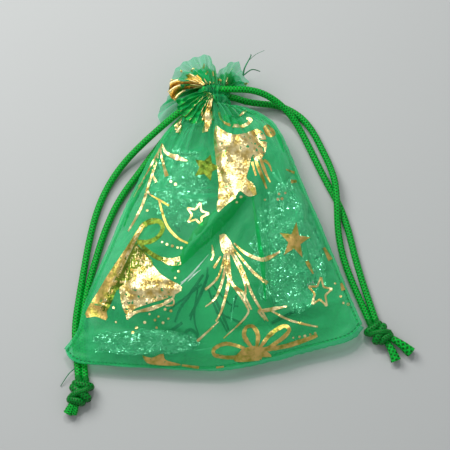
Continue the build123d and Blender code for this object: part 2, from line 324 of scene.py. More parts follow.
# The back panel's print seen through the sack, in near-black green: painted shade where the foil blocks the
# light
FOIL_BACK_DARK_SHADE = gold_foil("gold_foil_behind_painted_shade", (0.02, 0.1, 0.035), (0.015, 0.07, 0.02), 0.6, 0.3)
FILM = clear_film("clear_film", 0.46, 0.4)
# A whitish glossy sheet, laid in strokes on the cloth's fold ridges: painted highlight
FOLD_HIGHLIGHT_PAINT = clear_film("painted_fold_highlight", 0.5, 0.2, 0.0, 0.35)
# A glossier copy of the clear film, for strips placed under the cloth as painted highlights
GLINT = clear_film("clear_film_glint", 0.6, 0.3)
# Dark and bright ends of the braid's ramp: painted shade in the gaps and painted highlight on the yarns
CORD = braided("satin_cord", (0.0, 0.05, 0.005), (0.0, 0.62, 0.05), 0.45)
# The knots in the same cord's braid, darker: painted shade
KNOT_CORD_PAINTED_SHADE = braided("satin_cord_knot_painted_shade", (0.0, 0.035, 0.004), (0.0, 0.32, 0.03), 0.36)
THREAD = satin("sewing_thread", (0.0, 0.1, 0.03), (0.0, 0.26, 0.09), 0.5)


# ---------------------------------------------------------------- camera, floor and light

VIEW_ELEVATION = math.radians(75)
TILT_SIN = math.sin(VIEW_ELEVATION)
TILT_COS = math.cos(VIEW_ELEVATION)
TARGET = Vector((4.0, -4.8, 5.0)) * MM
DISTANCE = 0.55
FRAME_WIDTH = 0.1566        # what the view spans at the target, in metres
SENSOR = 36.0
FLOOR_HALF = 900.0


def make_camera():
    data = bpy.data.cameras.new("camera")
    data.sensor_width = SENSOR
    data.lens = SENSOR * DISTANCE / FRAME_WIDTH
    data.clip_start = 0.01
    camera = bpy.data.objects.new("camera", data)
    away = Vector((0.0, -TILT_COS, TILT_SIN))
    camera.location = TARGET + away * DISTANCE
    camera.rotation_euler = away.to_track_quat("Z", "Y").to_euler()
    bpy.context.scene.collection.objects.link(camera)
    bpy.context.scene.camera = camera


def make_light(name, where, size, power):
    data = bpy.data.lights.new(name, "AREA")
    data.shape = "DISK"
    data.size = size
    data.energy = power
    lamp = bpy.data.objects.new(name, data)
    lamp.location = where
    lamp.rotation_euler = Vector(where).to_track_quat("Z", "Y").to_euler()
    bpy.context.scene.collection.objects.link(lamp)


def make_floor():
    material, tree = new_material("pale_floor")
    paper = node(tree, "ShaderNodeBsdfPrincipled", Base_Color=(0.45, 0.46, 0.45, 1), Roughness=0.6)
    node(tree, "ShaderNodeOutputMaterial", paper)
    corners = [(-FLOOR_HALF, -FLOOR_HALF, 0), (FLOOR_HALF, -FLOOR_HALF, 0), (FLOOR_HALF, FLOOR_HALF, 0),
               (-FLOOR_HALF, FLOOR_HALF, 0)]
    make_object("floor", corners, [(0, 1, 2, 3)], [material], smooth=False)
    world = bpy.data.worlds.new("studio")
    world.use_nodes = True
    background = world.node_tree.nodes["Background"]
    background.inputs["Color"].default_value = (0.93, 0.97, 1.0, 1)
    background.inputs["Strength"].default_value = 0.42
    bpy.context.scene.world = world


make_camera()
make_floor()
bpy.context.scene.view_settings.view_transform = "Standard"
make_light("window_light", (-0.28, 0.27, 0.42), 0.34, 2.35)
make_light("fill_light", (0.55, -0.3, 0.6), 0.6, 0.35)
make_light("glint_light", (0.02, 0.3, 0.5), 0.06, 0.8)

# ---------------------------------------------------------------- the cloth panels

COLUMNS = 121
ROWS = 111
# Folds pressed into the front: from, to, height and half width
FRONT_FOLDS = [
    ((9.0, 3.0), (-11.0, -21.5), 2.4, 2.6), ((12.5, 1.0), (-7.0, -24.5), -1.8, 2.6),
    ((14.2, 14.0), (17.2, -31.0), 1.3, 1.3), ((16.4, 14.0), (19.6, -31.0), -1.0, 1.6),
    ((-24.9, -5.5), (-38.5, -33.0), 2.6, 2.0), ((-21.0, -6.0), (-33.0, -34.0), -1.6, 2.6),
    ((-4.0, 30.0), (2.0, 4.0), -1.8, 2.4), ((8.0, 34.0), (22.0, 8.0), -1.4, 2.2),
    ((-9.0, 29.0), (-17.0, 8.0), 1.4, 2.0), ((24.0, 16.0), (36.0, -20.0), 1.3, 1.8),
    ((-40.0, -44.0), (-10.0, -47.0), 1.3, 2.0), ((4.0, -44.0), (38.0, -38.0), -1.0, 2.4),
]
# Lumps where the film pushes the cloth up, and the hollow between them: centre, radii, height
FRONT_LUMPS = [
    ((-12.0, 8.0), (11.0, 13.0), 2.0), ((25.0, -16.0), (11.0, 22.0), 2.3), ((3.0, -20.0), (9.0, 22.0), -2.4),
    ((-28.0, -30.0), (12.0, 12.0), 0.9), ((8.0, 22.0), (8.0, 8.0), 1.6),
]


def patch_point(left, right, low, high, s, t, i, j):
    """A point inside four joined edges."""
    corners = ((1 - s) * (1 - t) * low[0] + s * (1 - t) * low[-1] + (1 - s) * t * high[0] + s * t * high[-1])
    return (1 - t) * low[j] + t * high[j] + (1 - s) * left[i] + s * right[i] - corners


def fold_height(x, y, folds):
    """How far the folds together lift the cloth at a point."""
    total = 0.0
    point = Vector((x, y))
    for start, end, height, width in folds:
        a, b = Vector(start), Vector(end)
        along = b - a
        share = max(0.0, min(1.0, (point - a).dot(along) / along.length_squared))
        distance = (point - a - along * share).length
        fade = math.sin(math.pi * (0.08 + 0.84 * share))
        total += height * fade * math.exp(-(distance / width) ** 2)
    return total


def panel_points(front):
    """The panel before its cloth is slackened: rows from the bottom seam to the neck."""
    left = curve_through(LEFT_EDGE, ROWS)
    right = curve_through(RIGHT_EDGE, ROWS)
    low = curve_through(BOTTOM_EDGE, COLUMNS)
    turns = [math.pi * j / (COLUMNS - 1) for j in range(COLUMNS)]
    high = [Vector((NECK.x - NECK_RADIUS * math.cos(turn), NECK_Y, 0)) for turn in turns]
    points = []
    for i in range(ROWS):
        t = i / (ROWS - 1)
        for j in range(COLUMNS):
            s = j / (COLUMNS - 1)
            p = patch_point(left, right, low, high, s, t, i, j)
            u = abs(2 * s - 1)
            shape = (1 - u ** 2.3) ** 0.92 if front else (1 - u ** 3.2)
            neck = smooth_step(0.86, 1.0, t)
            shape = shape * (1 - neck) + math.sin(math.pi * s) * neck
            pleats = math.sin(2 * math.pi * 11 * s + 1.4 * math.sin(9 * s))
            pleats += 0.5 * math.sin(2 * math.pi * 19 * s + 1)
            pleats *= (0.95 if front else 0.6) * smooth_step(0.62, 0.97, t) * min(1.0, 6 * s, 6 * (1 - s))
            edge_fade = min(1.0, 9 * s, 9 * (1 - s), 12 * t, 8 * (1 - t) + 0.1)
            if front:
                z = mid_z(p.y) + lerp_table(FRONT_CROWN, t) * shape + pleats
                z += edge_fade * fold_height(p.x, p.y, FRONT_FOLDS)
                for centre, radii, height in FRONT_LUMPS:
                    reach = ((p.x - centre[0]) / radii[0]) ** 2 + ((p.y - centre[1]) / radii[1]) ** 2
                    z += edge_fade * height * math.exp(-reach)
                z += edge_fade * 0.9 * noise.noise(Vector((p.x * 0.11, p.y * 0.11, 2.0)))
            else:
                z = mid_z(p.y) - lerp_table(BACK_CROWN, t) * shape - pleats
                z += edge_fade * 0.5 * noise.noise(Vector((p.x * 0.1, p.y * 0.1, 7.0)))
                z = max(z, 0.12)
            if t < 0.2 and s < 0.12:    # the lower left corner droops over the cords
                z = max(z - 1.6 * (1 - t / 0.2) * (1 - s / 0.12), 2.9)
            points.append(Vector((p.x, p.y, z)))
    return points


def smooth_step(low, high, x):
    share = max(0.0, min(1.0, (x - low) / (high - low)))
    return share * share * (3 - 2 * share)


GROWTH = 0.035              # how much the cloth grows to buckle
SETTLE_FRAMES = 14
MOST_MOVE = 2.2 * MM
LOWEST = 0.1 * MM


def slacken(obj, held):
    """Lets the cloth buckle: it grows a little between its held edges, in Blender's Cloth."""
    start = [v.co.copy() for v in obj.data.vertices]
    group = obj.vertex_groups.new(name="held")
    group.add(held, 1.0, "REPLACE")
    modifier = obj.modifiers.new("Cloth", "CLOTH")
    settings = modifier.settings
    settings.quality = 6
    settings.mass = 0.00002
    settings.tension_stiffness = 12
    settings.compression_stiffness = 12
    settings.shear_stiffness = 4
    settings.bending_stiffness = 0.02
    settings.air_damping = 4
    settings.shrink_min = -GROWTH
    settings.use_pressure = True
    settings.uniform_pressure_force = 0.0
    settings.vertex_group_mass = "held"
    settings.effector_weights.gravity = 0.0
    modifier.collision_settings.use_collision = False
    scene = bpy.context.scene
    for number in range(1, SETTLE_FRAMES + 1):
        scene.frame_set(number)
    graph = bpy.context.evaluated_depsgraph_get()
    result = [v.co.copy() for v in obj.evaluated_get(graph).data.vertices]
    obj.modifiers.remove(modifier)
    obj.vertex_groups.remove(group)
    scene.frame_set(1)
    for vertex, before, after in zip(obj.data.vertices, start, result):
        move = after - before
        if move.length > MOST_MOVE:
            move = move.normalized() * MOST_MOVE
        vertex.co = before + move
        vertex.co.z = max(vertex.co.z, LOWEST)
    obj.data.update()


def make_panel(name, cad_node, front):
    points = panel_points(front)
    faces = grid_faces(ROWS, COLUMNS)
    if not front:
        faces = [tuple(reversed(face)) for face in faces]
    obj = make_object(name, points, faces, [CLOTH])
    add_grid_uv(obj, COLUMNS, 1 / (COLUMNS - 1), 1 / (ROWS - 1))
    ends = [(k % COLUMNS, k // COLUMNS) for k in range(len(points))]
    held = [k for k, (column, row) in enumerate(ends)
            if column in (0, 1, COLUMNS - 2, COLUMNS - 1) or row in (0, 1, ROWS - 2, ROWS - 1)]
    slacken(obj, held)
    belongs(obj, SACK, cad_node)
    return obj


front = make_panel("front_panel_cloth", "front_panel", True)
back = make_panel("back_panel_cloth", "back_panel", False)


def surface_of(obj):
    """A search tree over an object's shape, in metres."""
    mesh = obj.data
    faces = [tuple(polygon.vertices) for polygon in mesh.polygons]
    return BVHTree.FromPolygons([v.co.copy() for v in mesh.vertices], faces)


def edge_band(name, cad_node, picks):
    """A seam allowance: the two layers outside the stitching, as a narrow strip with a frayed outer edge."""
    rng = random.Random(name)
    verts = [front.data.vertices[k].co / MM for k in picks]
    points = []
    for k, p in enumerate(verts):
        before = verts[max(k - 1, 0)]
        after = verts[min(k + 1, len(verts) - 1)]
        along = (after - before).normalized()
        out = Vector((along.y, -along.x, 0))
        if out.dot(Vector((p.x, p.y + 10, 0))) < 0:
            out = -out
        wide = 0.3 + 1.3 * smooth_step(-20, 25, p.x) if cad_node == "bottom_seam" else 0.8
        ragged = SEAM_WIDTH * wide * (0.85 + 0.25 * rng.random())
        dip = 0.35 * math.sin(k * 0.31) + 0.2 * rng.random()
        points.append(p + Vector((0, 0, 0.18)) - out * 0.9)
        points.append(p + out * 0.1 + Vector((0, 0, 0.1)))
        points.append(p + out * ragged * 0.7 + Vector((0, 0, dip * 0.6)))
    faces = []
    for k in range(len(verts) - 1):
        for m in range(2):
            a = 3 * k + m
            faces.append((a, a + 1, a + 4, a + 3))
    obj = make_object(name, points, faces, [FRILL_CLOTH if cad_node == "bottom_seam" else CLOTH])
    add_uv(obj, [(p.x * 0.01, p.y * 0.01) for p in points])
    obj.modifiers.new("thickness", "SOLIDIFY").thickness = 0.25 * MM
    belongs(obj, SACK, cad_node)
    return verts


left_line = edge_band("left_side_allowance", "left_side_seam", range(0, ROWS * COLUMNS, COLUMNS))
right_line = edge_band("right_side_allowance", "right_side_seam", range(COLUMNS - 1, ROWS * COLUMNS, COLUMNS))
bottom_line = edge_band("bottom_allowance", "bottom_seam", range(COLUMNS))


def frames_along(line):
    """A steady pair of side directions at each point of a line."""
    frames = []
    side = None
    for k, p in enumerate(line):
        forward = (line[min(k + 1, len(line) - 1)] - line[max(k - 1, 0)]).normalized()
        if side is None:
            side = forward.cross(Vector((0, 0, 1)))
            if side.length < 0.1:
                side = forward.cross(Vector((1, 0, 0)))
        side = (side - forward * side.dot(forward)).normalized()
        frames.append((side, forward.cross(side)))
    return frames


def tube_mesh(line, radius, sides, closed_ends=True):
    """Points and faces of a tube; radius is a function of the share along, the length and the angle."""
    frames = frames_along(line)
    points = []
    run = 0.0
    total = length_of(line)
    for k, (p, (side, up)) in enumerate(zip(line, frames)):
        if k:
            run += (p - line[k - 1]).length
        for m in range(sides):
            angle = 2 * math.pi * m / sides
            r = radius(run / total, run, angle)
            points.append(p + side * (math.cos(angle) * r) + up * (math.sin(angle) * r))
    faces = grid_faces(len(line), sides, wrap=True)
    if closed_ends:
        faces.append(tuple(reversed(range(sides))))
        faces.append(tuple(range((len(line) - 1) * sides, len(line) * sides)))
    return points, faces


def add_tube_uv(obj, sides, step):
    """Along the tube in millimetres and once round it, with the last column closing on 1."""
    layer = obj.data.uv_layers.new(name="tube")
    for polygon in obj.data.polygons:
        columns = [k % sides for k in polygon.vertices]
        closing = max(columns) - min(columns) > sides / 2
        for loop, k in zip(polygon.loop_indices, polygon.vertices):
            column = k % sides
            if closing and column == 0:
                column = sides
            layer.data[loop].uv = ((k // sides) * step, column / sides)


def join_parts(name, parts, materials, smooth=True):
    points, faces = [], []
    for part_points, part_faces in parts:
        base = len(points)
        points.extend(part_points)
        faces.extend(tuple(base + k for k in face) for face in part_faces)
    return make_object(name, points, faces, materials, smooth)


def stitches(name, line, pitch, inward, lift, cad_node=None):
    """A row of short thread stitches along a line."""
    even = resample(line, int(length_of(line) / pitch) * 2)
    parts = []
    for k in range(0, len(even) - 1, 2):
        a, b = even[k], even[k + 1]
        push = inward((a + b) / 2)
        a, b = a + push, b + push
        middle = (a + b) / 2 + Vector((0, 0, lift))
        parts.append(tube_mesh([a, middle, b], lambda share, run, angle: THREAD_RADIUS, THREAD_SIDES))
    obj = join_parts(name, parts, [THREAD])
    belongs(obj, SACK, cad_node)


def towards_middle(amount):
    """A push of so much towards the middle of the sack, and a little up."""
    return lambda p: (Vector((0, -10, 0)) - Vector((p.x, p.y, 0))).normalized() * amount + Vector((0, 0, 0.25))


THREAD_RADIUS = 0.13
THREAD_SIDES = 6
SEAM_PITCH = 1.5
stitches("left_side_stitches", left_line, SEAM_PITCH, towards_middle(0.6), 0.12)
stitches("right_side_stitches", right_line, SEAM_PITCH, towards_middle(0.6), 0.12)
stitches("bottom_stitches", bottom_line, SEAM_PITCH, towards_middle(0.9), 0.12)

# ---------------------------------------------------------------- the neck casing and the header frill

CASING_SIDES = 240
CASING_ROWS = 26


def casing_radius(share, angle):
    """The gathered casing: sharp uneven pleats, pinched between the two cords and at the stitch rows."""
    warp = angle + 0.16 * math.sin(3 * angle + 1.0) + 0.05 * math.sin(2.6 * math.pi * share)
    pleats = 0.75 * (1 - abs(math.sin(8.5 * warp))) + 0.4 * (1 - abs(math.sin(15 * warp + 4 * share)))
    rows = 0.5 * math.exp(-((share - 0.03) / 0.06) ** 2) + 0.9 * math.exp(-((share - 0.99) / 0.07) ** 2)
    waist = 0.9 * math.exp(-((share - 0.52) / 0.08) ** 2)
    rough = 0.5 * noise.noise(Vector((math.cos(angle) * 2.1, math.sin(angle) * 2.1, share * 3.2)))
    return 4.72 + pleats - rows - waist + rough * 0.8


def casing_point(share, angle, lift=0.0):
    """A point on the casing, by share of its length and angle round it."""
    r = casing_radius(share, angle) + lift
    y = NECK_Y - 0.4 + (CASING_END - NECK_Y + 0.5) * share
    return Vector((NECK.x + r * math.cos(angle), y, NECK.z + r * math.sin(angle)))


def make_casing(name, cad_node, low_angle):
    half = CASING_SIDES // 2 + 1
    points = [casing_point(i / (CASING_ROWS - 1), low_angle + math.pi * m / (half - 1))
              for i in range(CASING_ROWS) for m in range(half)]
    obj = make_object(name, points, grid_faces(CASING_ROWS, half), [SEAM_CLOTH])
    add_grid_uv(obj, half, 1 / half, 1 / CASING_ROWS)
    belongs(obj, SACK, cad_node)
    return obj


casing_front = make_casing("casing_front_cloth", "neck_casing_front", 0.0)
make_casing("casing_back_cloth", "neck_casing_back", math.pi)


for name, cad_node, share in (("casing_lower_stitches", "casing_stitch_lower", 0.06),
                              ("casing_upper_stitches", "casing_stitch_upper", 0.95)):
    line = [casing_point(share, 2 * math.pi * m / CASING_SIDES, 0.1) for m in range(CASING_SIDES + 1)]
    stitches(name, line, 1.3, lambda p: Vector((0, 0, 0)), 0.0, cad_node)

# The frill's free edge, left to right, as it fans out
FRILL_FRONT_TIPS = [
    (-13.6, 38.4, 11.2), (-16.0, 42.0, 10.2), (-15.3, 46.2, 9.4), (-13.3, 51.0, 10.4), (-9.6, 54.4, 9.4),
    (-4.3, 56.0, 10.4), (-1.8, 55.6, 11.6), (-0.3, 51.9, 12.6), (1.2, 48.8, 12.0), (2.1, 50.2, 10.8),
    (5.4, 53.2, 9.6), (7.7, 54.0, 10.2), (9.4, 52.3, 10.6), (10.4, 49.3, 9.4), (12.4, 46.9, 8.4),
    (11.4, 44.9, 8.4),
]
FRILL_BACK_TIPS = [
    (-17.4, 31.4, 5.0), (-18.9, 32.6, 4.4), (-19.7, 36.9, 4.0), (-16.6, 41.3, 5.4), (-15.0, 46.4, 4.4),
    (-12.3, 50.2, 5.2), (-8.0, 52.8, 4.2), (-3.0, 53.0, 5.4), (0.6, 49.2, 5.8), (3.2, 50.4, 4.4),
    (7.0, 51.6, 5.4), (9.8, 49.2, 4.4), (12.0, 45.6, 5.4),
]
FRILL_COLUMNS = 320
FRILL_ROWS = 34
FRILL_WAVE = 1.15


def make_frill(name, cad_node, tips, upper):
    """One layer of ruffled cloth, from the casing's pleats out to the free edge."""
    tip_line = curve_through(tips, FRILL_COLUMNS)
    sign = 1 if upper else -1
    points = []
    for i in range(FRILL_ROWS):
        r = i / (FRILL_ROWS - 1)
        for j in range(FRILL_COLUMNS):
            s = j / (FRILL_COLUMNS - 1)
            root = casing_point(0.95, sign * math.pi * (1 - s))
            root.y = CASING_END - 0.2
            rise = Vector((0, 1, 0)) * 5.0 * r * (1 - r) * (1.2 - s * 0.4)
            p = root.lerp(tip_line[j], r) + rise
            pleat = math.sin(2 * math.pi * 15 * s + 2.0 * math.sin(7 * s)) * (1 - 0.55 * r)
            phase = 2 * math.pi * 13.5 * s + 1.3 + 2.5 * noise.noise(Vector((s * 4, r * 1.5, 3.0)))
            p.z += sign * 1.2 * pleat + 2.7 * r ** 0.7 * math.sin(phase) * FRILL_WAVE * (1 - 0.7 * r ** 5)
            p.x += 0.35 * r * (1 - 0.7 * r ** 5) * math.cos(phase)
            p.z = max(p.z, 0.4)
            points.append(p)
    obj = make_object(name, points, grid_faces(FRILL_ROWS, FRILL_COLUMNS), [FRILL_CLOTH, SEAM_CLOTH])
    for polygon in obj.data.polygons:
        row = polygon.index // (FRILL_COLUMNS - 1)
        column = polygon.index % (FRILL_COLUMNS - 1)
        gathered = row + 7 * noise.noise(Vector((column * 0.06, 2.0, 5.0)))
        polygon.material_index = 1 if gathered < FRILL_ROWS * 0.42 else 0
    add_grid_uv(obj, FRILL_COLUMNS, 1 / FRILL_COLUMNS, 0.3 / FRILL_ROWS)
    belongs(obj, SACK, cad_node)
    return obj


frill_front = make_frill("frill_front_cloth", "header_frill_front", FRILL_FRONT_TIPS, True)
frill_back = make_frill("frill_back_cloth", "header_frill_back", FRILL_BACK_TIPS, False)


TONGUE_ROWS = 30
TONGUE_COLUMNS = 90
TONGUE_TIPS = [
    (-12.6, 38.6, 13.4), (-12.2, 35.0, 13.6), (-9.8, 31.6, 13.2), (-6.4, 29.6, 13.0), (-3.0, 31.0, 13.2),
    (-1.2, 34.6, 13.6),
]


def make_tongue():
    """The lump of gathers left of the neck that folds down over the cord."""
    tips = curve_through(TONGUE_TIPS, TONGUE_COLUMNS)
    points = []
    for i in range(TONGUE_ROWS):
        r = i / (TONGUE_ROWS - 1)
        for j in range(TONGUE_COLUMNS):
            s = j / (TONGUE_COLUMNS - 1)
            root = Vector((-2.6 + 2.8 * s, 41.6 - 2.0 * s, 13.3))
            p = root.lerp(tips[j], r)
            fold = math.sin(17 * math.pi * s + 2.2 * noise.noise(Vector((s * 5, r * 2, 8.0))))
            p.z += 1.5 * math.sin(math.pi * min(r * 1.1, 1.0)) + (0.3 + 0.5 * r) * fold
            p.z += 1.6 * noise.noise(Vector((p.x * 0.5, p.y * 0.5, 3.0)))
            p.x += 0.5 * r * math.cos(17 * math.pi * s)
            p.z = max(p.z, 13.25)
            points.append(p)
    obj = make_object("neck_gather_fold", points, grid_faces(TONGUE_ROWS, TONGUE_COLUMNS), [SEAM_CLOTH])
    add_grid_uv(obj, TONGUE_COLUMNS, 0.2 / TONGUE_COLUMNS, 0.2 / TONGUE_ROWS)
    belongs(obj, SACK)
    return obj


tongue = make_tongue()


FOIL_LIFT = 0.16


def foil_patches(name, source, keep, lift=FOIL_LIFT):
    """Foil on part of a cloth piece: its own faces again, raised off the cloth."""
    mesh = source.data
    points, faces, used = [], [], {}
    for polygon in mesh.polygons:
        if not keep(polygon.center / MM):
            continue
        face = []
        for k in polygon.vertices:
            if k not in used:
                used[k] = len(points)
                points.append(mesh.vertices[k].co / MM + mesh.vertices[k].normal * lift)
            face.append(used[k])
        faces.append(tuple(face))
    belongs(make_object(name, points, faces, [FOIL]), SACK)


def crumpled_gold(p):
    """Where the gathered frill shows gold: most of its left part, and specks elsewhere."""
    patch = noise.noise(Vector((p.x * 0.22, p.y * 0.26, p.z * 0.2 + 4.0)))
    speck = noise.noise(Vector((p.x * 0.75, p.y * 0.75, 2.0)))
    if p.x > 0.5 or p.y > 48.5:
        return speck > 0.42 and p.y < 53
    return patch > -0.08 - 0.02 * (2.5 - p.x) or speck > 0.45


def casing_gold(p):
    patch = noise.noise(Vector((p.x * 0.3, p.y * 0.3, 9.0)))
    return p.x < 1.4 and patch > -0.2


def tongue_gold(p):
    return noise.noise(Vector((p.x * 0.3, p.y * 0.3, 1.0))) > -0.48


def neck_gold(p):
    return p.y > 26.5 and -13.5 < p.x < -0.2 and noise.noise(Vector((p.x * 0.28, p.y * 0.2, 6.0))) > 0.2


foil_patches("frill_foil", frill_front, crumpled_gold)
foil_patches("casing_foil", casing_front, casing_gold)
foil_patches("neck_fold_foil", tongue, tongue_gold)
foil_patches("neck_foil", front, neck_gold, 0.14)

# ---------------------------------------------------------------- the foil print

front_surface = surface_of(front)
back_surface = surface_of(back)
LIFT = 0.14


def on_front(x, v):
    """The point of the front panel that the design's point lies on, from the design's slanted direction."""
    high = 26.0
    start = Vector((x, (v - high * TILT_COS) / TILT_SIN + 2.1, high)) * MM
    hit, normal, _, _ = front_surface.ray_cast(start, Vector((0, TILT_COS, -TILT_SIN)))
    if hit is None:
        return None
    return hit / MM + normal * (LIFT if normal.z > 0 else -LIFT)


def under_front(x, v):
    spot = on_front(x, v)
    return spot and spot - Vector((0, 0, 0.3))


def on_back(x, v):
    start = Vector((x, v / TILT_SIN + 2.1, -5.0)) * MM
    hit, normal, _, _ = back_surface.ray_cast(start, Vector((0, 0, 1)))
    if hit is None:
        return None
    return hit / MM + Vector((0, 0, 0.06))


def stroke(points, widths, place):
    """A brush stroke on the cloth: a strip along a smooth curve with a changing width."""
    length = sum((Vector(b) - Vector(a)).length for a, b in zip(points, points[1:]))
    line = curve_through(points, max(int(length / 0.5), 6))
    strip, faces, rows = [], [], []
    for k, p in enumerate(line):
        share = k / (len(line) - 1)
        width = lerp_table([(m / (len(widths) - 1), w) for m, w in enumerate(widths)], share)
        width *= 1 + 0.18 * noise.noise(Vector((p.x * 1.3, p.y * 1.3, 1.0)))
        forward = (line[min(k + 1, len(line) - 1)] - line[max(k - 1, 0)]).normalized()
        side = Vector((-forward.y, forward.x, 0))
        placed = [place(*(p + side * width * m / 2).xy) for m in (-1, 0, 1)]
        if None in placed:
            rows.append(None)
            continue
        rows.append(len(strip))
        strip.extend(placed)
    for a, b in zip(rows, rows[1:]):
        if a is None or b is None:
            continue
        faces.extend((a + m, a + m + 1, b + m + 1, b + m) for m in range(2))
    return strip, faces


def filled(outline, place, cell=0.8, worn=None):
    """A filled shape on the cloth, cut into small cells so that it follows every fold."""
    work = bmesh.new()
    verts = [work.verts.new((x, v, 0)) for x, v in outline]
    work.faces.new(verts)
    low = [min(p[k] for p in outline) for k in (0, 1)]
    high = [max(p[k] for p in outline) for k in (0, 1)]
    for axis, across in enumerate((Vector((1, 0, 0)), Vector((0, 1, 0)))):
        at = low[axis] + cell
        while at < high[axis]:
            bmesh.ops.bisect_plane(work, geom=work.verts[:] + work.edges[:] + work.faces[:], dist=1e-5,
                                   plane_co=across * at, plane_no=across)
            at += cell
    bmesh.ops.triangulate(work, faces=work.faces[:])
    work.verts.index_update()
    points, index = [], {}
    for vert in work.verts:
        spot = place(vert.co.x, vert.co.y)
        if spot is not None:
            index[vert.index] = len(points)
            points.append(spot)
    faces = []
    for face in work.faces:
        corners = [v.index for v in face.verts]
        centre = face.calc_center_median()
        if worn and noise.noise(Vector((centre.x * 0.9, centre.y * 0.9, 3.0))) > worn(centre.x, centre.y):
            continue
        if all(k in index for k in corners):
            faces.append(tuple(index[k] for k in corners))
    work.free()
    return points, faces


def dot(x, v, radius, place):
    turns = [k * math.pi / 5 for k in range(10)]
    return filled([(x + radius * math.cos(turn), v + radius * math.sin(turn)) for turn in turns], place, 5.0)


def star_outline(x, v, radius, turn, inner=0.42, stretch=1.0):
    points = []
    for k in range(10):
        reach = radius if k % 2 == 0 else radius * inner
        angle = turn + k * math.pi / 5
        points.append((x + reach * math.sin(angle), v + reach * math.cos(angle) * stretch))
    return points


def rounded(points, count):
    """A closed outline with its corners smoothed."""
    closed = list(points) + [points[0]]
    return [p.xy for p in curve_through(closed, count + 1)[:-1]]


BELL_LARGE = [
    (0.9, 29.4), (4.0, 26.9), (7.5, 25.7), (11.1, 26.4), (15.0, 28.0), (17.7, 26.0), (18.5, 22.2),
    (17.4, 18.6), (14.6, 16.4), (13.2, 18.6), (12.2, 14.0), (11.4, 10.4), (13.8, 8.6), (14.6, 5.2),
    (11.8, 4.4), (9.0, 6.2), (7.2, 3.6), (4.4, 1.4), (1.4, -1.0), (1.6, 4.0), (1.8, 9.0), (0.8, 18.0),
    (0.2, 25.0),
]
BELL_SMALL = [
    (-26.4, -12.0), (-22.6, -16.0), (-17.6, -22.0), (-10.4, -26.4), (-14.6, -29.6), (-20.6, -31.6),
    (-25.8, -33.4), (-29.6, -35.4), (-32.0, -26.4), (-30.6, -22.6),
]
SIDE_BAND = [
    (-24.4, -4.8), (-31.4, -15.8), (-37.0, -24.2), (-43.8, -36.0), (-39.8, -36.6), (-36.0, -37.6),
    (-36.2, -33.2), (-33.6, -27.0), (-29.6, -17.4), (-26.0, -10.2), (-23.4, -5.6),
]
# The small bell's upper half and the strip beside the side band's ridge, in the dark olive foil: painted shade
OLIVE_BELL = [
    (-26.6, -11.6), (-23.2, -14.6), (-20.4, -18.6), (-23.6, -21.4), (-27.4, -23.4), (-30.8, -26.0),
    (-33.0, -27.6), (-31.4, -22.0), (-28.6, -15.6),
]
OLIVE_STRIP = [
    (-30.6, -22.0), (-33.2, -28.4), (-35.4, -33.6), (-37.8, -36.2), (-38.4, -34.2), (-35.6, -28.0),
    (-32.6, -22.0), (-29.6, -15.6),
]
SPRAY_HEART = [(2.0, -8.8), (4.2, -8.6), (7.2, -13.4), (6.0, -15.4), (3.4, -15.0), (2.4, -12.0)]
BOW_HEART = [(9.6, -47.4), (14.2, -46.2), (18.0, -48.0), (19.6, -50.4), (13.4, -51.6), (7.0, -51.4)]
EDGE_STAR = [
    (-24.0, -49.4), (-20.9, -50.2), (-17.0, -48.8), (-16.0, -51.0), (-10.8, -52.7), (-16.8, -53.0),
    (-22.2, -52.2),
]
TOP_KNOB = [(17.2, 28.6), (18.8, 29.8), (20.8, 28.4), (21.6, 26.4), (20.0, 25.2), (18.0, 26.2)]

